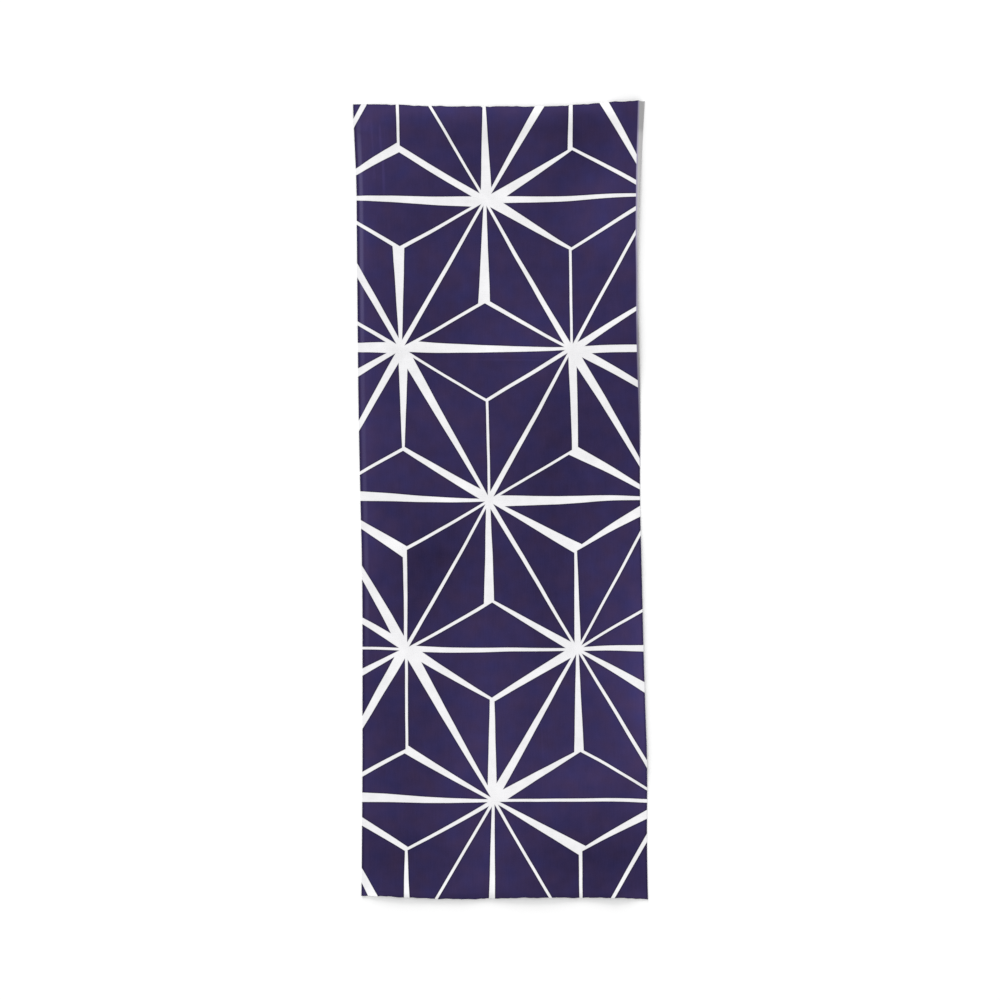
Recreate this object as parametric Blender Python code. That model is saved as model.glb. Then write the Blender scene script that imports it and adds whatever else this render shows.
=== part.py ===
"""A tenugui towel: one length of dyed cotton cloth, lying face up on a flat surface.

X runs across the loom width, Y runs along the cloth towards its top end, and Z is up. The
surface is at Z = 0, and the origin is at the middle of the ground that the cloth covers.
"""

import bpy
import numpy as np

MM = 0.001

# The ground that the cloth covers, and the cloth's thickness.
FOOTPRINT_WIDTH = 350.6 * MM
FOOTPRINT_LENGTH = 949.0 * MM
THICKNESS = 1.2 * MM

# Grid cells across and along the sheet, and how strongly they crowd towards its edges, from 0 for
# even cells to 1 for a full cosine spacing.
CELLS_ACROSS = 26
CELLS_ALONG = 60
CROWDING = 0.65

# The two selvedges, in millimetres. Along is the distance from the top end. Left and right are
# where the selvedges lie there, measured from the middle of the footprint.
SELVEDGES = np.array(
    [
        # along, left, right
        (0, -175.3, 171.5),
        (35, -174.0, 169.3),
        (95, -171.4, 165.8),
        (155, -170.8, 163.6),
        (245, -170.0, 163.8),
        (360, -168.8, 166.2),
        (480, -166.4, 166.0),
        (570, -164.4, 168.0),
        (630, -164.1, 169.4),
        (715, -164.1, 171.8),
        (780, -164.1, 174.0),
        (895, -164.8, 174.3),
        (949, -165.3, 175.3),
    ]
)

# The two cut ends, in millimetres. Across is measured from the middle of the footprint. Top and
# bottom are how far each cut lies inside the footprint's own end there.
CUT_ENDS = np.array(
    [
        # across, top, bottom
        (-175, 3.6, 4.6),
        (-131, 4.2, 3.4),
        (-93, 5.8, 1.5),
        (-31, 6.5, 0.5),
        (2, 6.5, 1.4),
        (64, 6.3, 2.2),
        (97, 4.2, 1.9),
        (126, 1.8, 2.1),
        (175, 0.0, 0.0),
    ]
)

# The soft ridges where the cloth lifts off the surface, in millimetres from the origin. A crest
# runs from its start to its end, and its height changes evenly between them. Left and right are
# how far the cloth takes to come down to the surface on each side of someone walking the crest.
RIDGES = {
    # name: start x, start y, end x, end y, start height, end height, left, right
    "left selvedge": (-158, 436, -151, -75, 3.2, 1.0, 46, 13),
    "top end": (-124, 454, 128, 459, 2.6, 4.0, 24, 44),
    "upper middle": (47, 440, 52, 350, 2.6, 1.6, 52, 56),
    "upper right corner": (163, 486, 161, 90, 6.0, 1.0, 7, 46),
    "middle": (0, 135, 150, 196, 3.0, 4.0, 104, 112),
    "lower left": (-132, -74, -56, -22, 1.8, 2.4, 50, 62),
    "lower right selvedge": (163, -50, 169, -308, 2.0, 3.0, 24, 58),
    "lower middle": (40, -268, 44, -452, 2.4, 3.0, 68, 92),
    "bottom end": (-132, -466, 130, -466, 2.6, 3.2, 40, 15),
}

# Past its two ends a ridge comes down at the reach of its wider side, and the reach of its
# narrower side widens to that within this share of it.
END_SHARE = 0.5

# Where the ridges would lift the cloth by less than this, in millimetres, it lies flat.
SETTLED = 0.25

# Dyed cotton.
NAVY = (0.040, 0.030, 0.091, 1.0)
CLOTH_ROUGHNESS = 0.9


def smooth_curve(stations, values, at):
    """A curve that passes through every value, with its slope at each station taken from the
    stations beside it, so that it has no corners."""
    slopes = np.gradient(values, stations)
    at = np.clip(at, stations[0], stations[-1])
    i = np.clip(np.searchsorted(stations, at, side="right") - 1, 0, len(stations) - 2)
    span = stations[i + 1] - stations[i]
    p = (at - stations[i]) / span
    rise = p * p * (3 - 2 * p)
    leaving = p * (1 - p) ** 2 * span * slopes[i]
    arriving = p * p * (1 - p) * span * slopes[i + 1]
    return values[i] * (1 - rise) + values[i + 1] * rise + leaving - arriving


def ridge_height(x, y, ridge):
    """Height of one ridge: half a cosine wave of the distance to the crest line."""
    x0, y0, x1, y1, height_0, height_1, left, right = ridge
    run_x, run_y = x1 - x0, y1 - y0
    length = np.hypot(run_x, run_y)
    along = ((x - x0) * run_x + (y - y0) * run_y) / length**2
    walked = np.clip(along, 0, 1)
    off_x = x - (x0 + walked * run_x)
    off_y = y - (y0 + walked * run_y)
    is_left = run_x * (y - y0) - run_y * (x - x0) > 0
    wider = max(left, right)
    past_end = np.clip(np.abs(along - walked) * length / (END_SHARE * wider), 0, 1)
    reach = np.where(is_left, left, right) * (1 - past_end) + wider * past_end
    away = np.clip(np.hypot(off_x, off_y) / reach, 0, 1)
    height = height_0 * (1 - walked) + height_1 * walked
    return height * (0.5 + 0.5 * np.cos(np.pi * away))


def sheet_height(x, y):
    """Height of the cloth's underside in millimetres: the ridges added as squares, so that two
    that meet run into each other without doubling, less what settles onto the surface."""
    squares = [ridge_height(x, y, ridge) ** 2 for ridge in RIDGES.values()]
    return np.maximum(np.sqrt(np.sum(squares, axis=0)) - SETTLED, 0)


def grid_fractions(cells):
    """Fractions from 0 to 1, closer together towards both ends, where the cloth's edges roll."""
    even = np.linspace(0, 1, cells + 1)
    crowded = 0.5 - 0.5 * np.cos(np.pi * even)
    return (1 - CROWDING) * even + CROWDING * crowded


def underside_points():
    """The underside as an array of points, with a row for each step along the cloth."""
    across, along = np.meshgrid(grid_fractions(CELLS_ACROSS), grid_fractions(CELLS_ALONG))
    from_top = along * FOOTPRINT_LENGTH / MM
    left = smooth_curve(SELVEDGES[:, 0], SELVEDGES[:, 1], from_top)
    right = smooth_curve(SELVEDGES[:, 0], SELVEDGES[:, 2], from_top)
    x = left * (1 - across) + right * across
    half_length = FOOTPRINT_LENGTH / MM / 2
    top = half_length - smooth_curve(CUT_ENDS[:, 0], CUT_ENDS[:, 1], x)
    bottom = smooth_curve(CUT_ENDS[:, 0], CUT_ENDS[:, 2], x) - half_length
    y = top * (1 - along) + bottom * along
    return np.stack([x, y, sheet_height(x, y)], axis=-1) * MM


def centred(points):
    """The points moved so that the middle of their footprint is the origin, and then stretched
    by the few tenths of a millimetre that bring the footprint to its stated size."""
    low = points[..., :2].reshape(-1, 2).min(axis=0)
    high = points[..., :2].reshape(-1, 2).max(axis=0)
    points[..., :2] -= (low + high) / 2
    points[..., :2] *= np.array([FOOTPRINT_WIDTH, FOOTPRINT_LENGTH]) / (high - low)
    return points


def cloth_material():
    material = bpy.data.materials.new("dyed cotton")
    material.use_nodes = True
    shader = material.node_tree.nodes["Principled BSDF"]
    shader.inputs["Base Color"].default_value = NAVY
    shader.inputs["Roughness"].default_value = CLOTH_ROUGHNESS
    shader.inputs["Metallic"].default_value = 0.0
    return material


def make_cloth():
    """The sheet: its underside as a grid of faces that look up, thickened upwards."""
    points = centred(underside_points())
    rows, columns = points.shape[:2]
    corner = np.arange(rows * columns).reshape(rows, columns)
    faces = np.stack(
        [corner[1:, :-1], corner[1:, 1:], corner[:-1, 1:], corner[:-1, :-1]], axis=-1
    )
    mesh = bpy.data.meshes.new("cloth")
    mesh.from_pydata(points.reshape(-1, 3).tolist(), [], faces.reshape(-1, 4).tolist())
    mesh.shade_smooth()
    mesh.materials.append(cloth_material())
    cloth = bpy.data.objects.new("cloth", mesh)
    bpy.context.scene.collection.objects.link(cloth)
    thicken = cloth.modifiers.new("thickness", "SOLIDIFY")
    thicken.thickness = THICKNESS
    thicken.offset = 1.0
    thicken.use_even_offset = True


for leftover in list(bpy.data.objects):
    bpy.data.objects.remove(leftover)
make_cloth()
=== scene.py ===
import math

import bpy
import numpy as np
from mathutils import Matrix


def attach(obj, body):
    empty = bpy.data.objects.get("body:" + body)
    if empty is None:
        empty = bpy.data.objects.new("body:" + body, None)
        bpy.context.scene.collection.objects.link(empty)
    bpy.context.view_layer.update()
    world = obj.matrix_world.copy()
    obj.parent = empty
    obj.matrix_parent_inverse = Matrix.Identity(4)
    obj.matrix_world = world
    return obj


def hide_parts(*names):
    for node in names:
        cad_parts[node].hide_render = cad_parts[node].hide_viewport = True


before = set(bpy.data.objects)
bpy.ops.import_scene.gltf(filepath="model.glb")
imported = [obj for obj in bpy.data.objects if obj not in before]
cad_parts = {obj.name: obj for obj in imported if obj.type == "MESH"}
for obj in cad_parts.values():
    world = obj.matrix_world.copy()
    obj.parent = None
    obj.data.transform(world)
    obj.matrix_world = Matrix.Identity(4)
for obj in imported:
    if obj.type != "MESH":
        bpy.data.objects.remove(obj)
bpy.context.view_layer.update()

# The cloth: one length of plain-woven cotton, about 34 cm wide on the loom and 95 cm long. Its
# long sides are selvedges and its ends are cut raw, with no hem. It lies face up, with the soft
# lifts and faint creases that are left when a folded cloth is opened out and smoothed by hand.
MM = 0.001
FOOTPRINT_WIDTH = 350.6 * MM
FOOTPRINT_LENGTH = 949.0 * MM
CLOTH_THICKNESS = 0.38 * MM
SELVEDGE_THICKNESS = 0.55 * MM
SELVEDGE_WIDTH = 5.0 * MM

# Grid cells across and along the sheet, and how strongly they crowd towards its edges, from 0 for
# even cells to 1 for a full cosine spacing.
CELLS_ACROSS = 126
CELLS_ALONG = 368
CROWDING = 0.5

# The two selvedges, in millimetres. Along is the distance from the top end. Left and right are
# where the selvedges lie there, measured from the middle of the footprint.
SELVEDGES = np.array(
    [
        # along, left, right
        (0, -175.3, 171.5),
        (35, -174.0, 169.3),
        (95, -171.4, 165.8),
        (155, -170.8, 163.6),
        (245, -170.0, 163.8),
        (360, -168.8, 166.2),
        (480, -166.4, 166.0),
        (570, -164.4, 168.0),
        (630, -164.1, 169.4),
        (715, -164.1, 171.8),
        (780, -164.1, 174.0),
        (895, -164.8, 174.3),
        (949, -165.3, 175.3),
    ]
)

# The strip along the right selvedge that the dye doesn't reach, in millimetres. Along is again
# the distance from the top end.
BARE_STRIP = np.array(
    [
        # along, width
        (0, 8.3),
        (35, 6.9),
        (75, 5.6),
        (105, 4.4),
        (155, 3.1),
        (197, 2.3),
        (268, 2.9),
        (305, 3.1),
        (375, 1.8),
        (430, 0.5),
        (480, 0.0),
        (949, 0.0),
    ]
)

# The two cut ends, in millimetres. Across is measured from the middle of the footprint. Top and
# bottom are how far each cut lies inside the footprint's own end there.
CUT_ENDS = np.array(
    [
        # across, top, bottom
        (-175, 3.6, 4.6),
        (-131, 4.2, 3.4),
        (-93, 5.8, 1.5),
        (-31, 6.5, 0.5),
        (2, 6.5, 1.4),
        (64, 6.3, 2.2),
        (97, 4.2, 1.9),
        (126, 1.8, 2.1),
        (175, 0.0, 0.0),
    ]
)

# The small uneven waves that the shears left in both cuts.
SHEAR_WAVES = np.array(
    [
        # wavelength in millimetres, phase in degrees, depth in millimetres
        (41, 20, 0.22),
        (23, 130, 0.20),
        (13, 250, 0.16),
        (9, 70, 0.12),
    ]
)

# The soft ridges where the cloth lifts off the surface, in millimetres from the origin. A crest
# runs from its start to its end, and its height changes evenly between them. Left and right are
# how far the cloth takes to come down to the surface on each side of someone walking the crest.
RIDGES = {
    # name: start x, start y, end x, end y, start height, end height, left, right
    "left selvedge": (-158, 436, -151, -75, 3.2, 1.0, 46, 13),
    "top end": (-124, 454, 128, 459, 2.6, 4.0, 24, 44),
    "upper middle": (47, 440, 52, 350, 2.6, 1.6, 52, 56),
    "upper right corner": (163, 486, 161, 90, 6.0, 1.0, 7, 46),
    "middle": (0, 135, 150, 196, 3.0, 4.0, 104, 112),
    "lower left": (-132, -74, -56, -22, 1.8, 2.4, 50, 62),
    "lower right selvedge": (163, -50, 169, -308, 2.0, 3.0, 24, 58),
    "lower middle": (40, -268, 44, -452, 2.4, 3.0, 68, 92),
    "bottom end": (-132, -466, 130, -466, 2.6, 3.2, 40, 15),
}

# Past its two ends a ridge comes down at the reach of its wider side, and the reach of its
# narrower side widens to that within this share of it.
END_SHARE = 0.5

# How far the cloth settles back from the ridges' own height, in millimetres.
SETTLED = 0.25

# The faint creases pressed into it, in the same terms, each with one height, which is below 0 for
# a dip, and one half width. A crease fades out over this share of its length at both ends.
CREASE_FADE = 0.25
CREASES = {
    # name: start x, start y, end x, end y, height, half width
    "upper left, outer": (-151, 452, -148, 352, 0.55, 5),
    "upper left, inner": (-139, 446, -137, 366, 0.45, 5),
    "under the second row": (-38, 170, 73, 169, 0.60, 6),
    "upper middle": (-22, 382, 64, 402, 0.35, 9),
    "right of the first star": (58, 340, 122, 326, 0.40, 8),
    "left of the middle star": (-118, 44, -60, 18, 0.40, 8),
    "above the fourth row": (-26, -168, 76, -170, 0.55, 6),
    "right of the middle star": (92, 34, 148, -18, 0.35, 9),
    "lower left": (-150, -262, -112, -330, 0.40, 8),
    "lower middle": (-14, -372, 8, -452, 0.40, 9),
    "lower right": (96, -366, 150, -392, 0.35, 8),
    "curl of the bottom end": (-240, -476, 240, -476, 1.7, 10),
    "dip in the bottom end": (-56, -476, 140, -476, -1.3, 12),
}

# The slack between the creases, as even waves added up.
SLACK = np.array(
    [
        # wavelength in millimetres, heading and phase in degrees, height in millimetres
        (118, 14, 40, 0.16),
        (83, 71, 200, 0.14),
        (61, 128, 310, 0.11),
        (47, 38, 95, 0.08),
        (34, 101, 150, 0.05),
    ]
)

# How softly the sheet comes to rest where all this would take it below the surface, in
# millimetres.
REST_SOFTNESS = 0.22


def smooth_curve(stations, values, at):
    """A curve that passes through every value, with its slope at each station taken from the
    stations beside it, so that it has no corners."""
    slopes = np.gradient(values, stations)
    at = np.clip(at, stations[0], stations[-1])
    i = np.clip(np.searchsorted(stations, at, side="right") - 1, 0, len(stations) - 2)
    span = stations[i + 1] - stations[i]
    p = (at - stations[i]) / span
    rise = p * p * (3 - 2 * p)
    leaving = p * (1 - p) ** 2 * span * slopes[i]
    arriving = p * p * (1 - p) * span * slopes[i + 1]
    return values[i] * (1 - rise) + values[i + 1] * rise + leaving - arriving


def ridge_height(x, y, ridge):
    """Height of one ridge: half a cosine wave of the distance to the crest line."""
    x0, y0, x1, y1, height_0, height_1, left, right = ridge
    run_x, run_y = x1 - x0, y1 - y0
    length = np.hypot(run_x, run_y)
    along = ((x - x0) * run_x + (y - y0) * run_y) / length**2
    walked = np.clip(along, 0, 1)
    off_x = x - (x0 + walked * run_x)
    off_y = y - (y0 + walked * run_y)
    is_left = run_x * (y - y0) - run_y * (x - x0) > 0
    wider = max(left, right)
    past_end = np.clip(np.abs(along - walked) * length / (END_SHARE * wider), 0, 1)
    reach = np.where(is_left, left, right) * (1 - past_end) + wider * past_end
    away = np.clip(np.hypot(off_x, off_y) / reach, 0, 1)
    height = height_0 * (1 - walked) + height_1 * walked
    return height * (0.5 + 0.5 * np.cos(np.pi * away))


def crease_height(x, y, crease):
    """Height of one crease: a bell curve across it, which fades out at both ends."""
    x0, y0, x1, y1, height, half_width = crease
    run_x, run_y = x1 - x0, y1 - y0
    length = np.hypot(run_x, run_y)
    along = ((x - x0) * run_x + (y - y0) * run_y) / length**2
    off = (run_x * (y - y0) - run_y * (x - x0)) / length
    faded = np.clip(np.minimum(along, 1 - along) / CREASE_FADE, 0, 1)
    return height * faded * faded * (3 - 2 * faded) * np.exp(-((off / half_width) ** 2))


def slack_height(x, y):
    """Height of the slack: the sum of its waves."""
    wavelength, heading, phase, height = SLACK.T[:, :, None, None]
    heading = np.radians(heading)
    walked = x * np.cos(heading) + y * np.sin(heading)
    waves = height * np.sin(2 * np.pi * walked / wavelength + np.radians(phase))
    return np.sum(waves, axis=0)


def sheet_height(x, y):
    """Height of the underside in millimetres: the ridges added as squares, as in the solid, then
    the creases and the slack, with a rounded limit where the cloth meets the surface."""
    squares = [ridge_height(x, y, ridge) ** 2 for ridge in RIDGES.values()]
    creases = sum(crease_height(x, y, crease) for crease in CREASES.values())
    height = np.sqrt(np.sum(squares, axis=0)) - SETTLED + creases + slack_height(x, y)
    return 0.5 * (height + np.sqrt(height**2 + REST_SOFTNESS**2))


def shear_depth(x):
    """How far the cut strays at a place along it: the sum of the waves that the shears left."""
    wavelength, phase, depth = SHEAR_WAVES.T[:, :, None, None]
    return np.sum(depth * np.sin(2 * np.pi * x / wavelength + np.radians(phase)), axis=0)


def grid_fractions(cells):
    """Fractions from 0 to 1, closer together towards both ends, where the cloth's edges roll."""
    even = np.linspace(0, 1, cells + 1)
    crowded = 0.5 - 0.5 * np.cos(np.pi * even)
    return (1 - CROWDING) * even + CROWDING * crowded


# The underside, with a row of points for each step along the cloth. The bottom cut's waves are
# the top cut's from half a length further on. The footprint is then centred on the origin and
# brought to its stated size, as in the solid.
across, along = np.meshgrid(grid_fractions(CELLS_ACROSS), grid_fractions(CELLS_ALONG))
from_top = along * FOOTPRINT_LENGTH / MM
left = smooth_curve(SELVEDGES[:, 0], SELVEDGES[:, 1], from_top)
right = smooth_curve(SELVEDGES[:, 0], SELVEDGES[:, 2], from_top)
bare = np.maximum(smooth_curve(BARE_STRIP[:, 0], BARE_STRIP[:, 1], from_top), 0)
sheet_x = left * (1 - across) + right * across
half_length = FOOTPRINT_LENGTH / MM / 2
top_weft = half_length - smooth_curve(CUT_ENDS[:, 0], CUT_ENDS[:, 1], sheet_x)
bottom_weft = smooth_curve(CUT_ENDS[:, 0], CUT_ENDS[:, 2], sheet_x) - half_length
top_y = top_weft + shear_depth(sheet_x)
bottom_y = bottom_weft + shear_depth(sheet_x + half_length)
sheet_y = top_y * (1 - along) + bottom_y * along
underside = np.stack([sheet_x, sheet_y, sheet_height(sheet_x, sheet_y)], axis=-1) * MM
low, high = underside[..., :2].min(axis=(0, 1)), underside[..., :2].max(axis=(0, 1))
underside[..., :2] -= (low + high) / 2
underside[..., :2] *= np.array([FOOTPRINT_WIDTH, FOOTPRINT_LENGTH]) / (high - low)

# Each spot's place on the flat cloth, in metres from the left selvedge and from the top end. The
# dyed width is the same all the way down, and the bare strip lies past it. The cut ends follow
# the weft but for their small waves, and so does the print, so its rows bow as the ends do.
DYED_WIDTH = 340.0 * MM
FLAT_LENGTH = 943.0 * MM
dyed_share = (sheet_x - left) / (right - bare - left)
on_cloth_u = dyed_share * DYED_WIDTH
on_cloth_v = (top_weft - sheet_y) / (top_weft - bottom_weft) * FLAT_LENGTH

# Where the cloth is lighter or darker, as soft patches on the flat cloth: partly where the dye
# took more or less or has worn, and partly painted light and shade of the cloth's soft lifts and
# hollows.
DYE_AND_SHADE_PATCHES = np.array(
    [
        # across and along in millimetres, reach across and along, how much lighter
        (0, 230, 32, 330, 0.24),
        (24, 58, 34, 50, 0.12),
        (108, 0, 150, 27, 0.25),
        (268, 56, 38, 38, -0.26),
        (300, 120, 48, 52, 0.28),
        (226, 284, 58, 32, 0.25),
        (95, 236, 42, 46, -0.12),
        (272, 410, 76, 90, -0.18),
        (232, 556, 46, 84, -0.14),
        (88, 544, 62, 84, -0.23),
        (302, 664, 44, 66, 0.20),
        (340, 690, 16, 150, 0.40),
        (325, 720, 34, 110, 0.12),
        (150, 764, 48, 100, 0.17),
        (262, 796, 66, 30, 0.18),
        (62, 728, 56, 50, -0.16),
        (0, 488, 24, 42, 0.14),
        (0, 800, 18, 40, 0.14),
        (290, 236, 44, 38, -0.12),
        (36, 906, 70, 52, -0.20),
        (0, 938, 12, 18, 0.30),
        (266, 908, 84, 46, -0.20),
    ]
)


def dye_and_shade_depth(u, v):
    """How much lighter the cloth is at a spot, by its dye and by painted light and shade: the sum
    of its patches, each a round bell.
    """
    middle_u, middle_v, reach_u, reach_v, lighter = DYE_AND_SHADE_PATCHES.T[:, :, None, None]
    away = ((u / MM - middle_u) / reach_u) ** 2 + ((v / MM - middle_v) / reach_v) ** 2
    return np.sum(lighter * np.exp(-away), axis=0)


def edge_distance(points):
    """Distance of each grid point from the nearer selvedge, measured across the cloth, and from
    the nearer cut end, measured along it."""
    steps_across = np.linalg.norm(np.diff(points, axis=1), axis=-1)
    steps_along = np.linalg.norm(np.diff(points, axis=0), axis=-1)
    walked_across = np.pad(np.cumsum(steps_across, axis=1), ((0, 0), (1, 0)))
    walked_along = np.pad(np.cumsum(steps_along, axis=0), ((1, 0), (0, 0)))
    to_side = np.minimum(walked_across, walked_across[:, -1:] - walked_across)
    to_end = np.minimum(walked_along, walked_along[-1:, :] - walked_along)
    return to_side, to_end


def unit_normals(points):
    """Directions square to the sheet: the cross product of its steps across and along."""
    step_across = np.gradient(points, axis=1)
    step_along = np.gradient(points, axis=0)
    normals = np.cross(step_along, step_across)
    return normals / np.linalg.norm(normals, axis=-1, keepdims=True)


# Faces that meet at less than this are shaded as one smooth surface, so the rim stays an edge.
SHARP_ANGLE = math.radians(50)


def closed_sheet(name, underside, thickness, uv, **attributes):
    """A closed thin sheet: the underside's grid, the same grid moved out along its normals by the
    thickness, and a rim of faces that joins their borders. Its UV map is each spot's place on the
    flat cloth, and each attribute is a number for every point."""
    rows, columns = underside.shape[:2]
    topside = underside + unit_normals(underside) * thickness[..., None]
    count = rows * columns
    below = np.arange(count).reshape(rows, columns)
    above = below + count
    up = np.stack([above[1:, :-1], above[1:, 1:], above[:-1, 1:], above[:-1, :-1]], axis=-1)
    down = np.stack([below[:-1, :-1], below[:-1, 1:], below[1:, 1:], below[1:, :-1]], axis=-1)
    border = np.concatenate([below[0, :-1], below[:-1, -1], below[-1, :0:-1], below[:0:-1, 0]])
    following = np.roll(border, -1)
    rim = np.stack([border, border + count, following + count, following], axis=-1)
    faces = np.concatenate([up.reshape(-1, 4), down.reshape(-1, 4), rim])
    points = np.concatenate([underside.reshape(-1, 3), topside.reshape(-1, 3)])
    mesh = bpy.data.meshes.new(name)
    mesh.from_pydata(points.tolist(), [], faces.tolist())
    corners = np.empty(len(mesh.loops), int)
    mesh.loops.foreach_get("vertex_index", corners)
    layer = mesh.uv_layers.new(name="on_cloth")
    layer.data.foreach_set("uv", np.tile(uv.reshape(-1, 2), (2, 1))[corners].ravel())
    for attribute, values in attributes.items():
        made = mesh.attributes.new(attribute, "FLOAT", "POINT")
        made.data.foreach_set("value", np.tile(values.ravel(), 2))
    mesh.shade_smooth()
    mesh.set_sharp_from_angle(angle=SHARP_ANGLE)
    piece = bpy.data.objects.new(name, mesh)
    bpy.context.scene.collection.objects.link(piece)
    return piece


to_side, to_end = edge_distance(underside)
firmness = np.clip(1 - to_side / SELVEDGE_WIDTH, 0, 1)
thickness = CLOTH_THICKNESS + (SELVEDGE_THICKNESS - CLOTH_THICKNESS) * firmness
cloth = closed_sheet(
    "tenugui",
    underside,
    thickness,
    np.stack([on_cloth_u, on_cloth_v], axis=-1),
    to_side=to_side,
    to_end=to_end,
    # The patches of uneven dye and painted light and shade, for every point.
    lighter=dye_and_shade_depth(on_cloth_u, on_cloth_v),
)

# The cotton is dyed through a paper stencil, so the pattern shows on both faces: navy pieces
# parted by bare strokes, which form six-pointed hemp leaves on a lattice of equal triangles. The
# pieces are cut by hand, so each stroke has its own weight and most of them taper.

# The lattice in millimetres on the flat cloth: from star to star, from row to row, and where the
# middle star lies.
STAR_PITCH = 208.0
ROW_PITCH = 178.9
MIDDLE_STAR = (156.6, 469.2)

# How wide a stroke's end is at the least and at the most, in millimetres, and the range of its
# lean from one side to the other, as a share of its width. The stencil's number is the seed of
# what its strokes draw.
FINE_STROKE = 3.0
BROAD_STROKE = 14.0
STROKE_LEAN = 0.5
STENCIL_NUMBER = 11.0

# A stroke draws its weight, how that is shared out between its ends, and its lean, each as a
# number from 0 to 1. A weight from this one up is the full one, and outside the other two all
# the weight is at one end.
FULL_WEIGHT_DRAW = 0.8
ONE_END_DRAW = 0.3
OTHER_END_DRAW = 0.7

# The short strokes leave the corners at 30 degrees to a triangle's sides, and its sides are this
# many times as long as they are. The cosine is also the height of a triangle with sides of 1.
COS_30 = math.sqrt(0.75)
SIN_30 = 0.5
SHORT_STROKES_IN_SIDE = math.sqrt(3)

# From one yarn to the next, in millimetres.
YARN_PITCH = 0.52


class Link:
    """A node's output. Where it carries a number, arithmetic written with it adds Math nodes."""

    def __init__(self, finish, socket):
        self.finish = finish
        self.socket = socket

    def maths(self, operation, *numbers):
        sockets = dict(enumerate(numbers))
        return self.finish.node("Math", {"operation": operation}, sockets)[0]

    def __add__(self, other):
        return self.maths("ADD", self, other)

    def __radd__(self, other):
        return self.maths("ADD", other, self)

    def __sub__(self, other):
        return self.maths("SUBTRACT", self, other)

    def __rsub__(self, other):
        return self.maths("SUBTRACT", other, self)

    def __mul__(self, other):
        return self.maths("MULTIPLY", self, other)

    def __rmul__(self, other):
        return self.maths("MULTIPLY", other, self)

    def __truediv__(self, other):
        return self.maths("DIVIDE", self, other)

    def __lt__(self, other):
        return self.maths("LESS_THAN", self, other)

    def __gt__(self, other):
        return self.maths("GREATER_THAN", self, other)

    def least(self, other):
        return self.maths("MINIMUM", self, other)

    def most(self, other):
        return self.maths("MAXIMUM", self, other)

    def floor(self):
        return self.maths("FLOOR", self)

    def sine(self):
        return self.maths("SINE", self)

    def size(self):
        return self.maths("ABSOLUTE", self)

    def sign(self):
        return self.maths("SIGN", self)


class Finish:
    """One material and its nodes."""

    def __init__(self, name):
        self.material = bpy.data.materials.new(name)
        self.material.use_nodes = True
        self.tree = self.material.node_tree
        self.shader = self.tree.nodes["Principled BSDF"]

    def feed(self, socket, value):
        """Gives a socket its value or its link."""
        if isinstance(value, Link):
            self.tree.links.new(value.socket, socket)
        else:
            socket.default_value = value

    def node(self, kind, settings, sockets):
        """Adds a node of that kind, with its settings first and then its sockets, by name or
        number, and gives its outputs."""
        node = self.tree.nodes.new("ShaderNode" + kind)
        for setting, value in settings.items():
            setattr(node, setting, value)
        for socket, value in sockets.items():
            self.feed(node.inputs[socket], value)
        return [Link(self, output) for output in node.outputs]

    def kept(self, attribute):
        """The number that the mesh keeps for each of its points under that name."""
        return self.node("Attribute", {"attribute_name": attribute}, {})[2]

    def rise(self, value, start, end, low=0.0, high=1.0):
        """Low up to the start, high from the end on, and a smooth rise between them."""
        sockets = {"Value": value, "From Min": start, "From Max": end}
        sockets.update({"To Min": low, "To Max": high})
        return self.node("MapRange", {"interpolation_type": "SMOOTHSTEP"}, sockets)[0]

    def mix(self, share, first, second):
        """The first colour where the share is 0, and the second where it is 1."""
        sockets = {0: share, 6: self.opaque(first), 7: self.opaque(second)}
        return self.node("Mix", {"data_type": "RGBA"}, sockets)[2]

    def opaque(self, colour):
        """A plain colour with the alpha that its socket takes. A link stays as it is."""
        return colour if isinstance(colour, Link) else (*colour, 1.0)

    def scaled(self, colour, factor):
        """The colour with all three of its parts multiplied by the factor."""
        sockets = {0: colour, "Scale": factor}
        return self.node("VectorMath", {"operation": "SCALE"}, sockets)[0]

    def place(self, x, y, z):
        """A vector from three numbers."""
        return self.node("CombineXYZ", {}, {0: x, 1: y, 2: z})[0]

    def noise(self, x, y, layer=0.0, detail=2.0):
        """Soft noise from about -1 to 1, with one lump to each unit of x and y. Each layer is
        another noise."""
        sockets = {"Vector": self.place(x, y, layer), "Scale": 1.0, "Detail": detail}
        return self.node("TexNoise", {}, sockets)[0] * 2.0 - 1.0


def stencil_stroke(finish, x, y, z):
    """One stroke of the stencil, known by three whole numbers: its widths at its two ends, in
    millimetres, and how far it leans to one side, as a share of its width. What it has beyond a
    fine stroke is shared out between its ends, and mostly goes to one of them."""
    sockets = {"Vector": finish.place(x, y, z), "W": STENCIL_NUMBER}
    colour = finish.node("TexWhiteNoise", {"noise_dimensions": "4D"}, sockets)[1]
    weight, share, lean = finish.node("SeparateColor", {}, {0: colour})
    more = (BROAD_STROKE - FINE_STROKE) * finish.rise(weight, 0.0, FULL_WEIGHT_DRAW)
    share = finish.rise(share, ONE_END_DRAW, OTHER_END_DRAW)
    return FINE_STROKE + more * share, FINE_STROKE + more * (1 - share), (lean - 0.5) * STROKE_LEAN


def stroke_half(stroke, walked, side):
    """Width of the half of a stroke that lies on one side of its line: it changes evenly from
    one end to the other, so the piece beside it has a straight edge."""
    first, second, lean = stroke
    return (first * (1 - walked) + second * walked) * (0.5 + lean * side)


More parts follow.
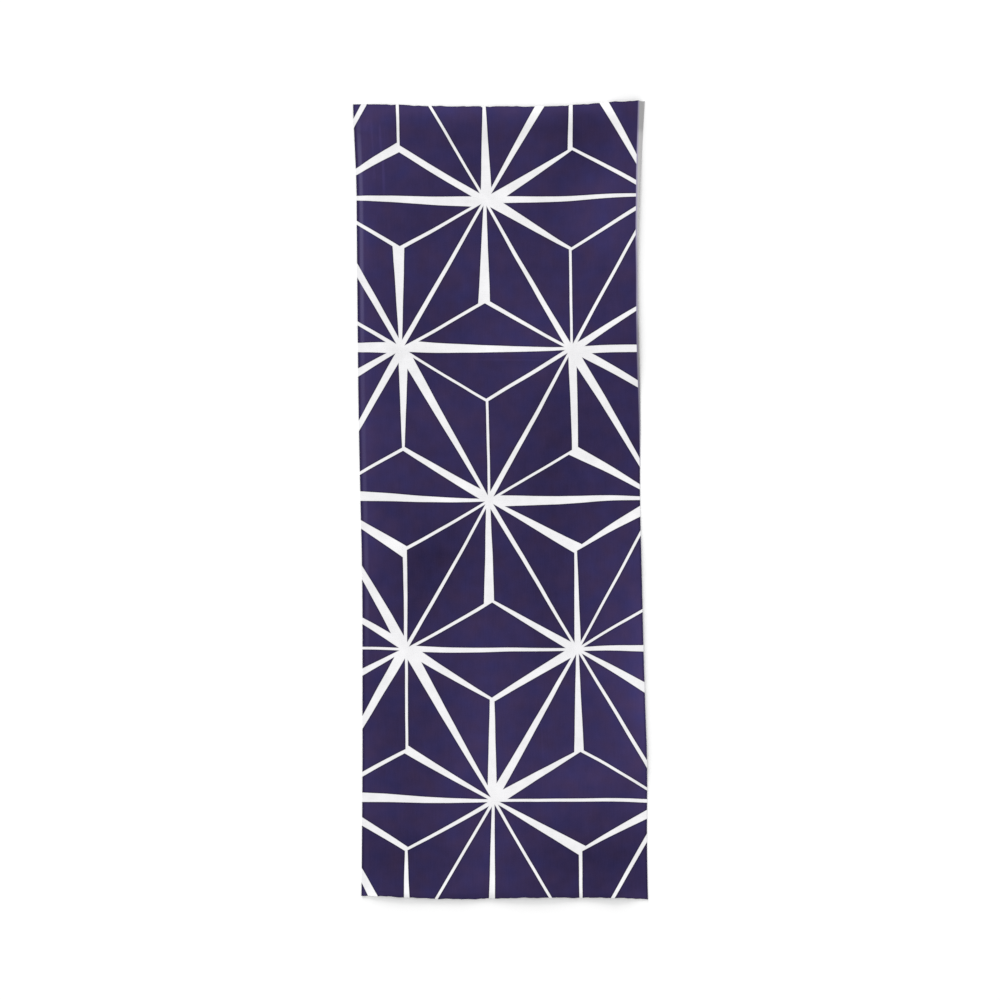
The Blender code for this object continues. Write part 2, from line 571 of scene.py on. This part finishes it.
def inside_piece(finish, u, v):
    """How far a spot lies inside its dyed piece, in millimetres, and below 0 on a stroke.

    The lattice's cells split into two triangles, one the other turned round, with stars at their
    corners. Each triangle holds three pieces, parted by short strokes from its corners to its
    middle, and a spot belongs to the piece whose long side it is nearest. In that piece, walked
    runs along the long side from 0 to 1, and off is the distance from it."""
    row = (v - MIDDLE_STAR[1]) / ROW_PITCH
    column = (u - MIDDLE_STAR[0]) / STAR_PITCH - row / 2
    cell_x, cell_y = column.floor(), row.floor()
    cell_u, cell_v = column - cell_x, row - cell_y
    turned = cell_u + cell_v > 1
    way = 1 - 2 * turned
    share_1 = turned + way * cell_u
    share_2 = turned + way * cell_v
    share_0 = 1 - share_1 - share_2
    is_0 = share_0 < share_1.least(share_2)
    is_1 = (1 - is_0) * (share_1 < share_2)
    is_2 = 1 - is_0 - is_1
    lowest = share_0.least(share_1).least(share_2)
    walked = is_0 * share_2 + is_1 * share_0 + is_2 * share_1 + lowest / 2
    off = lowest * COS_30

    corner_x, corner_y = cell_x + turned, cell_y + turned
    long_stroke = stencil_stroke(
        finish,
        2 * corner_x + way * (is_0 + is_2),
        2 * corner_y + way * (is_0 + is_1),
        -1.0,
    )
    middle_x, middle_y = 3 * corner_x + way, 3 * corner_y + way
    start_stroke = stencil_stroke(finish, middle_x, middle_y, is_0 + 2 * is_1)
    end_stroke = stencil_stroke(finish, middle_x, middle_y, 2 * is_0 + is_2)

    clear = off * STAR_PITCH - stroke_half(long_stroke, turned + way * walked, way)
    for stroke, from_star, side in ((start_stroke, walked, 1.0), (end_stroke, 1 - walked, -1.0)):
        to_middle = (from_star * COS_30 + off * SIN_30) * SHORT_STROKES_IN_SIDE
        short_off = from_star * SIN_30 - off * COS_30
        clear = clear.least(short_off * STAR_PITCH - stroke_half(stroke, to_middle, side))
    return clear


def plain_weave(u, v):
    """Height of plain weave, from 0 in the gaps between yarns to 1 on their crests: each yarn is
    round across and goes over one yarn and under the next, and the higher one shows."""
    warp = (u * (math.pi / YARN_PITCH)).sine()
    weft = (v * (math.pi / YARN_PITCH)).sine()
    warp_height = 0.5 * warp.size() + 0.5 * warp.sign() * weft
    weft_height = 0.5 * weft.size() - 0.5 * weft.sign() * warp
    return warp_height.most(weft_height)


# Painted highlights along creases from the folded cloth, in millimetres on the flat cloth, with
# how much lighter each is.
CREASE_HIGHLIGHTS = np.array(
    [
        # start across, start along, end across, end along, half width, lighter
        (31.0, 20, 31.5, 62, 2.4, 0.26),
        (33.0, 50, 33.6, 114, 2.6, 0.30),
        (21.0, 4, 22.5, 100, 1.9, 0.14),
        (132, 301, 244, 303, 1.9, 0.16),
        (64, 236, 65, 330, 1.9, 0.10),
        (214, 700, 216, 790, 1.9, 0.10),
    ]
)


def crease_highlight(finish, u, v, crease):
    """How much lighter a spot is for one crease's painted highlight: the most on its line, fading
    out to its half width on each side, and at both ends as a crease's height does."""
    start_u, start_v, end_u, end_v, half_width, lighter = (float(value) for value in crease)
    run_u, run_v = end_u - start_u, end_v - start_v
    length = math.hypot(run_u, run_v)
    walked = ((u - start_u) * run_u + (v - start_v) * run_v) / length**2
    off = ((u - start_u) * run_v - (v - start_v) * run_u) / length
    band = 1 - finish.rise(off.size(), 0.0, half_width)
    begun = finish.rise(walked, 0.0, CREASE_FADE)
    ended = finish.rise(walked, 1 - CREASE_FADE, 1.0)
    return lighter * band * begun * (1 - ended)


def stepped(finish, value, steps):
    """A number that changes smoothly from level to level: the product of its steps, each of
    which has one factor before it and another after it."""
    number = 1
    for start, end, before, after in steps:
        number = number * finish.rise(value, start, end, before, after)
    return number


dyed_cotton = Finish("dyed cotton")
uv_map = dyed_cotton.node("UVMap", {"uv_map": "on_cloth"}, {})[0]
cloth_u, cloth_v, _ = dyed_cotton.node("SeparateXYZ", {}, {0: uv_map})
u, v = cloth_u / MM, cloth_v / MM
end_gap = dyed_cotton.kept("to_end") / MM
side_gap = dyed_cotton.kept("to_side") / MM

# The stencil's edge wanders a little, and the dye creeps along the yarns by a thread's width. To
# the right it stops on a soft line, with a tail that thins out past it. All in millimetres.
STENCIL_WANDER = 1.3
WANDER_LENGTH = 110.0
DYE_CREEP = 0.22
CREEP_LENGTH = 0.9
EDGE_SOFTNESS = 0.35
DYE_LINE = DYED_WIDTH / MM
DYE_LINE_SOFTNESS = 0.6
DYE_TAIL_REACH = 2.4
wander_u = dyed_cotton.noise(u / WANDER_LENGTH, v / WANDER_LENGTH)
wander_v = dyed_cotton.noise(u / WANDER_LENGTH, v / WANDER_LENGTH, layer=9.0)
creep = dyed_cotton.noise(u / CREEP_LENGTH, v / CREEP_LENGTH)
stencil_u = u + wander_u * STENCIL_WANDER
stencil_v = v + wander_v * STENCIL_WANDER
inside = inside_piece(dyed_cotton, stencil_u, stencil_v) + creep * DYE_CREEP
dyed = dyed_cotton.rise(inside, -EDGE_SOFTNESS, EDGE_SOFTNESS)
past_dye = dyed_cotton.rise(u, DYE_LINE - DYE_LINE_SOFTNESS, DYE_LINE + DYE_LINE_SOFTNESS)
past_tail = dyed_cotton.rise(u, DYE_LINE + DYE_LINE_SOFTNESS, DYE_LINE + DYE_TAIL_REACH)

# How uneven the dye and the bare cotton are, as shares of their tones, in lumps of four sizes.
# Streaks run along the warp.
UNEVENNESS = {
    # name: across and along in millimetres, layer, detail, share in dye, share in bare cotton
    "clouds": (85.0, 85.0, 3.0, 3.0, 0.24, 0.05),
    "blotches": (17.0, 17.0, 4.0, 2.0, 0.16, 0.10),
    "streaks": (1.6, 26.0, 5.0, 2.0, 0.09, 0.03),
    "specks": (1.1, 1.1, 7.0, 2.0, 0.12, 0.03),
}
# The dye's tone starts from its patches of uneven dye and painted light and shade.
dye_tone_and_shade = 1 + dyed_cotton.kept("lighter")
bare_tone_and_shade = 1
noises = {}
for name, (size_u, size_v, layer, detail, dye_share, bare_share) in UNEVENNESS.items():
    noises[name] = dyed_cotton.noise(u / size_u, v / size_v, layer, detail)
    dye_tone_and_shade = dye_tone_and_shade + dye_share * noises[name]
    bare_tone_and_shade = bare_tone_and_shade + bare_share * noises[name]

# The navy is darker along the edges of the strokes, where the dye gathers, and along the cut ends
# and the selvedges. Each is a distance in millimetres, with how far the full darkness goes and
# where it has gone.
DARK_EDGES = (
    # distance, full to, gone by, how much darker
    (inside, 0.5, 2.0, 0.38),
    (end_gap, 0.3, 2.0, 0.25),
    (side_gap, 1.4, 3.0, 0.30),
)
for distance, full_to, gone_by, darker in DARK_EDGES:
    dye_tone_and_shade = dye_tone_and_shade * (1 - darker * (1 - dyed_cotton.rise(distance, full_to, gone_by)))
# Painted highlights along the creases.
for crease in CREASE_HIGHLIGHTS:
    dye_tone_and_shade = dye_tone_and_shade + crease_highlight(dyed_cotton, u, v, crease)

# Both get painted shade down between the yarns and a painted highlight on their crests, by these
# shares of the height above the weave's mean.
WEAVE_MEAN = 0.64
DYED_WEAVE_SHADE = 0.22
BARE_WEAVE_SHADE = 0.08
weave = plain_weave(u, v)
weave_shade = weave - WEAVE_MEAN
dye_tone_and_shade = dye_tone_and_shade * (1 + DYED_WEAVE_SHADE * weave_shade)
bare_tone_and_shade = bare_tone_and_shade * (1 + BARE_WEAVE_SHADE * weave_shade)

# The navy turns from bluer to redder in patches, and has worn along a narrow band inside the left
# selvedge, most in its upper part.
BLUE_NAVY = (0.0293, 0.0241, 0.0892)
RED_NAVY = (0.0383, 0.0248, 0.0732)
WORN_NAVY = (0.085, 0.072, 0.165)
RED_LENGTH = 24.0
RED_SHARE = 0.5
RED_SPREAD = 0.9
WORN_ACROSS = (
    # from, to, factor before, factor after
    (2.4, 4.6, 0.0, 1.0),
    (6.2, 9.4, 1.0, 0.0),
)
WORN_ALONG = (
    # from, to, factor before, factor after
    (0.0, 60.0, 0.0, 1.0),
    (220.0, 310.0, 1.0, 0.45),
    (580.0, 700.0, 1.0, 0.15),
)
WORN_SHARE = 0.85
WORN_SPECKS = 0.5
redder = dyed_cotton.noise(u / RED_LENGTH, v / RED_LENGTH, layer=15.0, detail=1.0)
navy = dyed_cotton.mix(RED_SHARE + RED_SPREAD * redder, BLUE_NAVY, RED_NAVY)
navy = dyed_cotton.scaled(navy, dye_tone_and_shade)
worn = stepped(dyed_cotton, u, WORN_ACROSS) * stepped(dyed_cotton, v, WORN_ALONG)
worn = worn * (WORN_SHARE + WORN_SPECKS * noises["specks"])
navy = dyed_cotton.mix(worn, navy, WORN_NAVY)

# The strokes are undyed cotton. The strip past the dye is undyed cotton too, with a lavender tail
# beside the dye; its grey is painted shade of the edge curling down there, and its tone changes in
# soft steps down the cloth as painted shade where that edge turns towards the light and away.
UNDYED = (0.824, 0.820, 0.835)
DYE_TAIL = (0.33, 0.30, 0.44)
BARE_SELVEDGE_IN_PAINTED_SHADE = (0.51, 0.505, 0.51)
STRIP_PAINTED_SHADE = (
    # from, to, factor before, factor after
    (30.0, 42.0, 0.76, 1.0),
    (150.0, 200.0, 1.0, 0.85),
    (245.0, 275.0, 1.0, 0.65),
)
printed = dyed_cotton.mix(dyed, dyed_cotton.scaled(UNDYED, bare_tone_and_shade), navy)
shaded_bare_strip = dyed_cotton.mix(past_tail, DYE_TAIL, BARE_SELVEDGE_IN_PAINTED_SHADE)
# Painted shade in steps down the strip.
shaded_bare_strip = dyed_cotton.scaled(shaded_bare_strip, stepped(dyed_cotton, v, STRIP_PAINTED_SHADE))
colour = dyed_cotton.mix(past_dye, printed, shaded_bare_strip)
dyed_cotton.feed(dyed_cotton.shader.inputs["Base Color"], colour)

# The yarns stand up by a few hundredths of a millimetre, with slubs where one is thicker. A slub
# is a little wider than a yarn and runs along it, in millimetres.
YARN_RELIEF = 0.05 * MM
SLUB_RELIEF = 0.04 * MM
SLUB_WIDTH = 0.7
WARP_SLUB_LENGTH = 14.0
WEFT_SLUB_LENGTH = 11.0
warp_slub = dyed_cotton.noise(u / SLUB_WIDTH, v / WARP_SLUB_LENGTH, layer=11.0, detail=1.0)
weft_slub = dyed_cotton.noise(u / WEFT_SLUB_LENGTH, v / SLUB_WIDTH, layer=13.0, detail=1.0)
relief = weave * YARN_RELIEF + (warp_slub + weft_slub) * SLUB_RELIEF
bump = dyed_cotton.node("Bump", {}, {"Strength": 1.0, "Distance": 1.0, "Height": relief})[0]
dyed_cotton.feed(dyed_cotton.shader.inputs["Normal"], bump)

# Matt cotton, with hardly any gloss and a trace of fuzz.
CLOTH_ROUGHNESS = 0.92
CLOTH_GLOSS = 0.04
CLOTH_FUZZ = 0.02
FUZZ_ROUGHNESS = 0.5
dyed_cotton.shader.inputs["Roughness"].default_value = CLOTH_ROUGHNESS
dyed_cotton.shader.inputs["Specular IOR Level"].default_value = CLOTH_GLOSS
dyed_cotton.shader.inputs["Sheen Weight"].default_value = CLOTH_FUZZ
dyed_cotton.shader.inputs["Sheen Roughness"].default_value = FUZZ_ROUGHNESS

cloth.data.materials.append(dyed_cotton.material)
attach(cloth, "root")
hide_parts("cloth")

# The ground under the cloth: a plain pale studio floor, wide enough to fill every view.
FLOOR_REACH = 12.0
FLOOR_DROP = 0.1 * MM
FLOOR_WHITE = (0.95, 0.95, 0.95, 1.0)
corners = np.array([(-1, -1, 0), (1, -1, 0), (1, 1, 0), (-1, 1, 0)]) * FLOOR_REACH
corners[:, 2] = -FLOOR_DROP
floor_mesh = bpy.data.meshes.new("floor")
floor_mesh.from_pydata(corners.tolist(), [], [(0, 1, 2, 3)])
floor_finish = Finish("studio floor")
floor_finish.shader.inputs["Base Color"].default_value = FLOOR_WHITE
floor_finish.shader.inputs["Roughness"].default_value = 1.0
floor_finish.shader.inputs["Specular IOR Level"].default_value = 0.0
floor_mesh.materials.append(floor_finish.material)
floor = bpy.data.objects.new("floor", floor_mesh)
bpy.context.scene.collection.objects.link(floor)

# The light: an even white studio all round, and one broad soft lamp low beyond the top end.
SKY_STRENGTH = 0.86
LAMP_STRENGTH = 3.28
LAMP_ELEVATION = math.radians(13)
LAMP_HEADING = math.radians(12)
LAMP_SPREAD = math.radians(34)
world = bpy.data.worlds.new("studio")
world.use_nodes = True
world.node_tree.nodes["Background"].inputs["Color"].default_value = (1.0, 1.0, 1.0, 1.0)
world.node_tree.nodes["Background"].inputs["Strength"].default_value = SKY_STRENGTH
bpy.context.scene.world = world
lamp_data = bpy.data.lights.new("lamp", "SUN")
lamp_data.energy = LAMP_STRENGTH
lamp_data.angle = LAMP_SPREAD
lamp = bpy.data.objects.new("lamp", lamp_data)
lamp.rotation_euler = (LAMP_ELEVATION - math.pi / 2, 0.0, LAMP_HEADING)
bpy.context.scene.collection.objects.link(lamp)
bpy.context.scene.view_settings.view_transform = "Standard"

# The camera: straight above the cloth, a fraction of a pixel off its middle, with the picture's
# top towards +Y. The picture's side is the number of pixels on it times the real size of one
# pixel at the cloth, and gives the camera's height.
PICTURE_SIDE = 1000
PIXEL_SIZE = 1.189 * MM
LENS = 85.0
SENSOR = 36.0
CAMERA_X = -0.6 * MM
CAMERA_Y = 0.3 * MM
CAMERA_REACH = 100.0
camera_data = bpy.data.cameras.new("camera")
camera_data.lens = LENS
camera_data.sensor_width = SENSOR
camera_data.clip_end = CAMERA_REACH
camera = bpy.data.objects.new("camera", camera_data)
camera.location = (CAMERA_X, CAMERA_Y, PICTURE_SIDE * PIXEL_SIZE * LENS / SENSOR)
bpy.context.scene.collection.objects.link(camera)
bpy.context.scene.camera = camera
